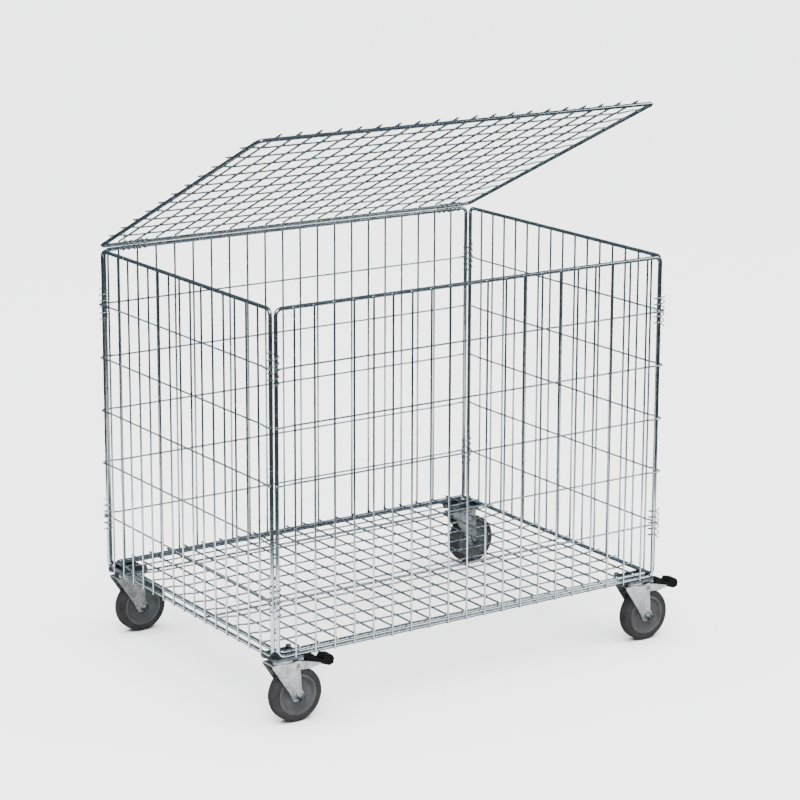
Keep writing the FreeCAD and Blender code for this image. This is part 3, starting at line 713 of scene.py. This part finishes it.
def make_wheel(corner):
    """Turn a wheel's hub and its tyre, with a moulded seam round the tread."""
    centre = Vector(JOINTS["wheel_spin_" + corner]["pos_m"])
    body = "wheel_" + corner
    hub = Shape()
    lathe(hub, centre, -Y, HUB + mirrored(HUB), HUB_SIDES, hollow=True)
    hub.piece("wheel_hub_" + corner, body, "hub_plastic", ["hub_" + corner], smooth=32)
    tyre = Shape()
    lathe(tyre, centre, -Y, TYRE + mirrored(TYRE), TYRE_SIDES, hollow=True)
    tyre.piece("wheel_tyre_" + corner, body, "tyre_rubber", ["tyre_" + corner], smooth=50)


def make_axle(corner):
    """Make the axle bolt and its nut, with threads past the nut."""
    centre = Vector(JOINTS["wheel_spin_" + corner]["pos_m"])
    body = "swivel_" + corner
    outline = AXLE_HEAD + thread(start=21.0, end=31.5, radius=6.0, pitch=1.5, depth=0.7)
    bolt = Shape()
    lathe(bolt, centre, -Y, outline, AXLE_SIDES, AXLE_FLATS)
    bolt.piece("axle_screw_" + corner, body, "fastener_steel", ["axle_bolt_" + corner], smooth=30)
    nut = Shape()
    lathe(nut, centre, -Y, AXLE_NUT, AXLE_SIDES, AXLE_FLATS, hollow=True)
    nut.piece("axle_lock_nut_" + corner, body, "fastener_steel", ["axle_nut_" + corner], smooth=30)


def make_rivet(corner):
    """Make the pedal's rivet, with a dimple in each peened head."""
    centre = Vector(JOINTS["brake_press_" + corner]["pos_m"])
    body = "swivel_" + corner
    rivet = Shape()
    lathe(rivet, centre, -Y, mirrored(RIVET) + RIVET, RIVET_SIDES)
    rivet.piece("pedal_pivot_" + corner, body, "fastener_steel", ["pedal_rivet_" + corner])


def make_plate_fastenings():
    """Make the plate bolts; the inner one of each plate carries a nut."""
    low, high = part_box("mounting_plates")
    inner_shank = thread(start=6.1, end=14.5, radius=4.0, pitch=1.25, depth=0.5)
    bolts = Shape()
    nuts = Shape()
    for corner, (right, back) in CORNERS.items():
        swivel = Vector(JOINTS["swivel_turn_" + corner]["pos_m"])
        for x in (-1, 1):
            for y in (-1, 1):
                hole = Vector((swivel.x + x * HOLE_X, swivel.y + y * HOLE_Y, low.z - TOP_PLATE))
                inner = x == -right and y == -back
                outline = PLATE_HEAD + [PLATE_SHANK] + (inner_shank if inner else [PLATE_TIP])
                lathe(bolts, hole, Z, outline, PLATE_SIDES, PLATE_FLATS)
                if inner:
                    seat = Vector((hole.x, hole.y, high.z))
                    lathe(nuts, seat, Z, PLATE_NUT, PLATE_SIDES, PLATE_FLATS, hollow=True)
    bolts.piece("plate_screws", "root", "fastener_steel", ["plate_bolts"], smooth=30)
    nuts.piece("plate_lock_nuts", "root", "fastener_steel", ["plate_nuts"], smooth=30)


for corner in CORNERS:
    make_wheel(corner)
    make_axle(corner)
for corner in ("fl", "fr"):
    make_rivet(corner)
make_plate_fastenings()


# ------------------------------------------------------------ remaining nodes
SLOTS = {entry["node"]: entry["material_slot"] for entry in frame["record"]["subparts"]}
PRESSED_EDGE = 0.4 * MM
MOULDED_EDGE = {"pedal_cap_fl": 1.6 * MM, "pedal_cap_fr": 1.6 * MM}


def dress(node, finish, edge):
    """Give a CAD node its finish, and round its edges."""
    target = NODES[node]
    target.data.materials.clear()
    target.data.materials.append(FINISH[finish])
    for face in target.data.polygons:
        face.use_smooth = True
    modifier = target.modifiers.new("edges", "BEVEL")
    modifier.width = edge
    modifier.segments = 3
    modifier.limit_method = "ANGLE"
    modifier.angle_limit = math.radians(35)
    modifier.harden_normals = True


for node in sorted(NODES):
    if not NODES[node].hide_render:
        dress(node, SLOTS[node], MOULDED_EDGE.get(node, PRESSED_EDGE))


# ---------------------------------------------------------- floor, light, view
RIM_SIDES = 96
FLOOR_REACH = 60.0
FLOOR_DROP = 0.1 * MM
WALL_REACH = 59.5
WALL_HEIGHT = 30.0
WALL_GLOW = 3.4
CARD_GAP = 0.35
CARD_HEIGHT = 0.24
CARD_CORNER = 0.2
CARD_BACK = 0.75
CARD_RIGHT = 1.3
CARD_GLOW = 3.0
SURROUND = [
    (0.0, (0.10, 0.125, 0.14)), (0.36, (0.06, 0.075, 0.085)), (0.5, (0.09, 0.11, 0.125)),
    (0.6, (0.17, 0.205, 0.23)), (0.75, (0.12, 0.15, 0.165)), (1.0, (0.15, 0.18, 0.20)),
]


def make_sheet(name, rim, faces, finish):
    """Lay a flat sheet of the studio."""
    mesh = bpy.data.meshes.new(name)
    mesh.from_pydata([tuple(point) for point in rim], [], faces)
    mesh.materials.append(finish)
    made = bpy.data.objects.new(name, mesh)
    bpy.context.scene.collection.objects.link(made)
    return made


def around(reach):
    """Points all the way round, at a reach."""
    angles = [math.tau * k / RIM_SIDES for k in range(RIM_SIDES)]
    return [Vector((math.cos(angle), math.sin(angle), 0)) * reach for angle in angles]


def make_floor():
    """A pale floor, which the metal doesn't mirror."""
    rim = [point - Z * FLOOR_DROP for point in around(FLOOR_REACH)]
    floor = make_sheet("studio_floor", rim, [tuple(range(RIM_SIDES))], floor_paint("studio_floor"))
    floor.visible_glossy = False


def make_wall():
    """Stand a pale wall round the floor's rim, which only a low view sees."""
    points = around(WALL_REACH)
    points += [point + Z * WALL_HEIGHT for point in points]
    faces = []
    for k in range(RIM_SIDES):
        after = (k + 1) % RIM_SIDES
        faces.append((k, after, after + RIM_SIDES, k + RIM_SIDES))
    wall = make_sheet("studio_wall", points, faces, glow("studio_wall", WALL_GLOW))
    wall.visible_diffuse = False
    wall.visible_glossy = False
    wall.visible_shadow = False


def make_reflector():
    """Stand a low glowing card before the front and the left; it shows only in the metal."""
    left = -RIGHT[1].x - CARD_GAP
    front = FRONT[0].y - CARD_GAP
    line = [
        (left, CARD_BACK), (left, front + CARD_CORNER), (left + CARD_CORNER, front),
        (CARD_RIGHT, front),
    ]
    points = []
    for x, y in line:
        points += [Vector((x, y, 0)), Vector((x, y, CARD_HEIGHT))]
    faces = [(2 * k, 2 * k + 2, 2 * k + 3, 2 * k + 1) for k in range(len(line) - 1)]
    card = make_sheet("reflector", points, faces, glow("reflector", CARD_GLOW))
    card.visible_camera = False
    card.visible_diffuse = False
    card.visible_shadow = False


def aim(made, place, target):
    """Add a lamp or a camera, turned towards its target."""
    made.location = place
    made.rotation_euler = (Vector(target) - Vector(place)).to_track_quat("-Z", "Y").to_euler()
    bpy.context.scene.collection.objects.link(made)


def make_panel_light(name, place, target, size, power):
    """Hang a soft square light."""
    lamp = bpy.data.lights.new(name, "AREA")
    lamp.shape = "RECTANGLE"
    lamp.size = size
    lamp.size_y = size
    lamp.energy = power
    aim(bpy.data.objects.new(name, lamp), place, target)


def make_sky_light():
    """Light everything evenly from a wide ceiling."""
    lamp = bpy.data.lights.new("ceiling", "SUN")
    lamp.energy = 12.0
    lamp.angle = math.radians(85)
    made = bpy.data.objects.new("ceiling", lamp)
    made.visible_glossy = False
    aim(made, (0, 0, 5), (0.4, 0.6, 0))


def make_world():
    """Surround the studio with dim grey, brightest a little above the horizon."""
    world = bpy.data.worlds.new("studio")
    world.use_nodes = True
    tree = world.node_tree
    background = tree.nodes["Background"]
    where = tree.nodes.new("ShaderNodeTexCoord")
    parts = tree.nodes.new("ShaderNodeSeparateXYZ")
    tree.links.new(where.outputs["Generated"], parts.inputs[0])
    shift = tree.nodes.new("ShaderNodeMath")
    shift.operation = "MULTIPLY_ADD"
    shift.inputs[1].default_value = 0.5
    shift.inputs[2].default_value = 0.5
    tree.links.new(parts.outputs["Z"], shift.inputs[0])
    ramp = tree.nodes.new("ShaderNodeValToRGB")
    set_stops(ramp, SURROUND)
    tree.links.new(shift.outputs[0], ramp.inputs["Fac"])
    tree.links.new(ramp.outputs["Color"], background.inputs["Color"])
    background.inputs["Strength"].default_value = 1.0
    bpy.context.scene.world = world


def make_camera():
    """Place the camera where it sees the front left corner, a little from above."""
    camera = bpy.data.cameras.new("camera")
    camera.sensor_width = 36.0
    camera.lens = 116.54
    camera.shift_x = 0.0486
    camera.shift_y = -0.0936
    camera.clip_end = 200.0
    made = bpy.data.objects.new("camera", camera)
    aim(made, (-3.2469, -4.9106, 2.0902), (-0.0511, 0.0020, 0.7684))
    bpy.context.scene.camera = made


make_floor()
make_wall()
make_reflector()
make_world()
make_sky_light()
make_panel_light("key", (-2.5, -3.5, 4.2), (0, 0, 0.6), size=2.4, power=220)
make_panel_light("fill", (4.0, -2.5, 3.0), (0, 0, 0.5), size=2.0, power=80)
make_camera()
